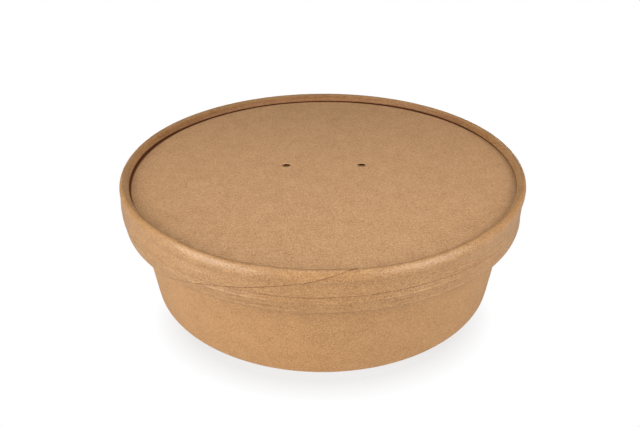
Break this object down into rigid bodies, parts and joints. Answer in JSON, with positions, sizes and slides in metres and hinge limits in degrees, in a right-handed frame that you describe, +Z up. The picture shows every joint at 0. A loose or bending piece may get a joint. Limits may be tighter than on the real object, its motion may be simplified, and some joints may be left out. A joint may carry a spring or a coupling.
{
  "type": "paper salad bowl",
  "caption": "Round shut salad bowl of brown kraft board: a flared wall on a recessed foot, under a flat vented lid held in a rolled, creased and hemmed paper band.",
  "frame": {"origin": "on the floor, under the middle of the bowl's foot", "axes": "+Z up through the middle of the lid; -Y is the front, where the upper end of the band's oblique lap is; +X is to the right of it"},
  "size_m": [0.1885, 0.1883, 0.0574],
  "materials": {
    "bowl_kraft": null,
    "lid_board_kraft": null,
    "lid_band_kraft": null
  },
  "bodies": {
    "root": {"bowl_wall": "bowl_kraft", "base_board": "bowl_kraft", "lid_board": "lid_board_kraft", "lid_band": "lid_band_kraft"}
  },
  "joints": []
}
